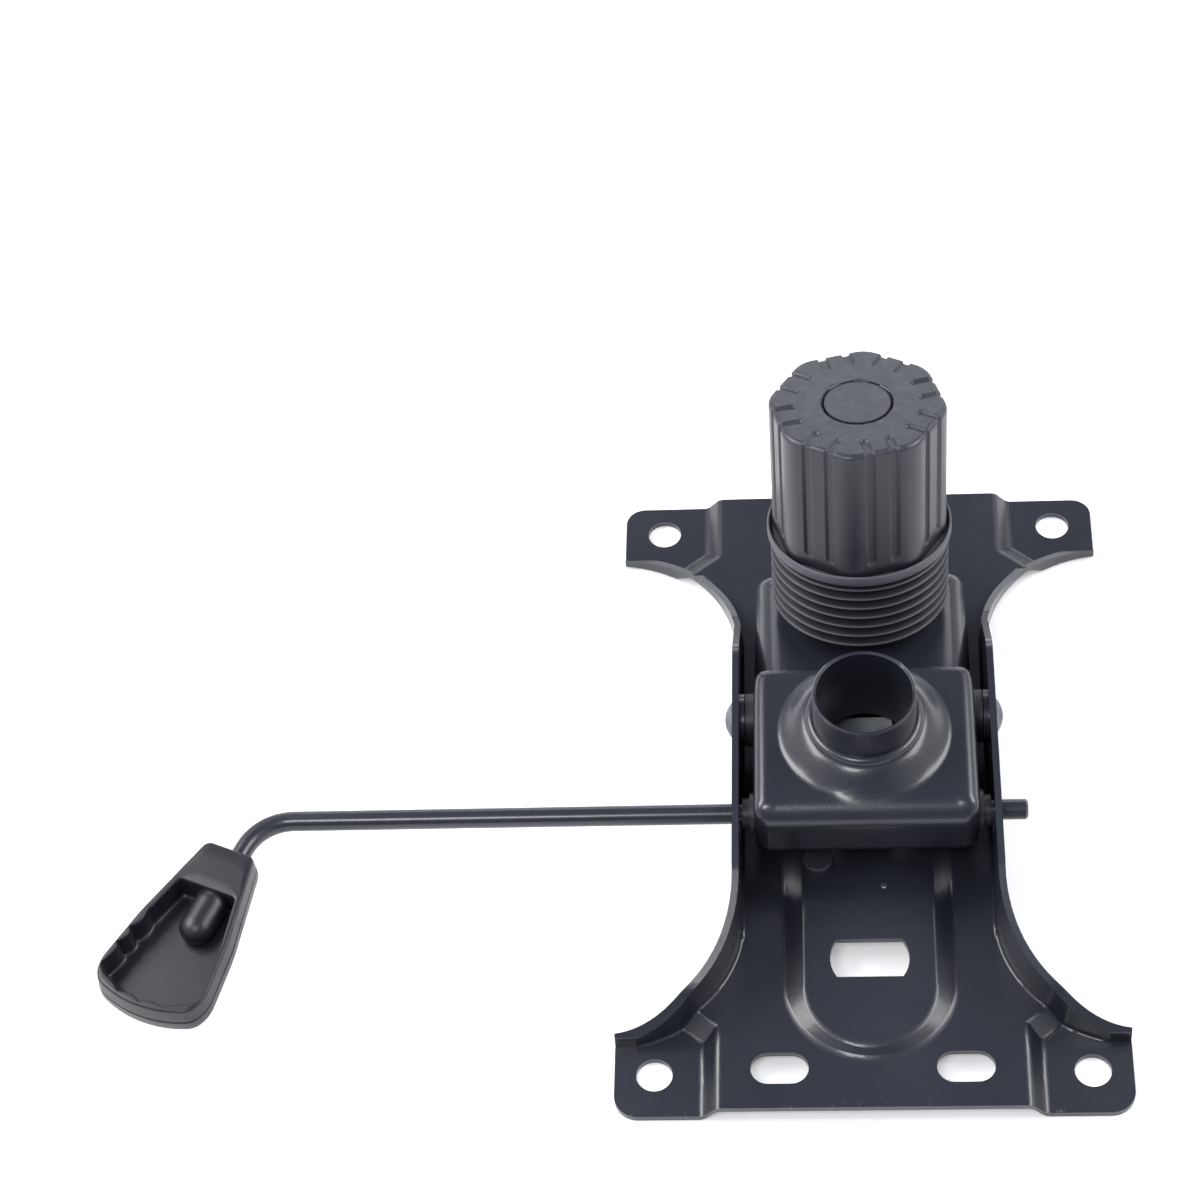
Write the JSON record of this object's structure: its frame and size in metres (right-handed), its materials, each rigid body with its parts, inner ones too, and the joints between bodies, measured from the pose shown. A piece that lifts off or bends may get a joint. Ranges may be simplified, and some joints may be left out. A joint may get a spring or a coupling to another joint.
{
  "type": "office chair tilt mechanism",
  "caption": "Pressed steel seat plate with a tilting housing that takes a gas lift, a sprung tension knob in a rubber boot, and a side lever with a paddle.",
  "frame": {"origin": "centre of the four-bolt seat pattern on the plate's bolting face", "axes": "+Z away from the seat, towards the chair's base; +Y towards the chair's front, where the knob is; the lever points to -X"},
  "size_m": [0.2966, 0.224, 0.1049],
  "materials": {
    "black_paint": "satin blue-black paint",
    "zinc": "bright zinc",
    "black_nylon": "moulded black nylon",
    "knob_plastic": "moulded dark grey plastic",
    "boot_rubber": "soft black rubber",
    "spring_steel": "oiled spring steel",
    "dark_steel": "black coated steel"
  },
  "bodies": {
    "seat_frame": {"seat_plate": "black_paint", "tilt_buffer": "boot_rubber", "pivot_rivet_left": "zinc", "pivot_rivet_right": "zinc", "pivot_washers": "dark_steel"},
    "housing": {"housing": "black_paint", "gas_lift_socket": "black_paint", "socket_weld": "black_paint", "pivot_bush_left": "black_nylon", "pivot_bush_right": "black_nylon", "rod_bush_left": "black_nylon", "rod_bush_right": "black_nylon", "spring_seat_lower": "zinc", "tension_spring": "spring_steel"},
    "bolt": {"tension_bolt": "zinc"},
    "spring_top": {"thrust_washer": "zinc", "bellows": "boot_rubber"},
    "knob": {"knob_body": "knob_plastic", "knob_cap": "knob_plastic", "knob_nut": "zinc"},
    "actuator": {"valve_actuator": "zinc"},
    "lever": {"lever_rod": "dark_steel", "rod_clips": "spring_steel", "paddle": "knob_plastic"}
  },
  "joints": [
    {"name": "tilt", "type": "hinge", "parent": "seat_frame", "child": "housing", "pos_m": [0, 0.008, 0.0255], "axis": [1, 0, 0], "range_deg": [0, 12], "stiffness_Nm_per_rad": 60, "deforming": ["tension_spring", "bellows"]},
    {"name": "bolt_rock", "type": "hinge", "parent": "seat_frame", "child": "bolt", "pos_m": [0, 0.05144, 0.01371], "axis": [1, 0, 0], "range_deg": [0, 12]},
    {"name": "tension_advance", "type": "slide", "parent": "bolt", "child": "spring_top", "axis": [0, 0.1959, 0.9806], "range_m": [-0.006, 0.003], "deforming": ["tension_spring", "bellows"]},
    {"name": "knob_turn", "type": "hinge", "parent": "spring_top", "child": "knob", "pos_m": [0, 0.06443, 0.07872], "axis": [0, 0.1959, 0.9806], "range_deg": [-1440, 720]},
    {"name": "lever_lift", "type": "hinge", "parent": "housing", "child": "actuator", "pos_m": [0, -0.028, 0.0285], "axis": [1, 0, 0], "range_deg": [0, 8], "stiffness_Nm_per_rad": 2},
    {"name": "lever_slide", "type": "slide", "parent": "actuator", "child": "lever", "axis": [-1, 0, 0], "range_m": [0, 0.008]}
  ],
  "couplings": [
    {"joint": "bolt_rock", "follows": "tilt", "ratio": 1},
    {"joint": "knob_turn", "follows": "tension_advance", "rad_per_m": 4188.8}
  ]
}
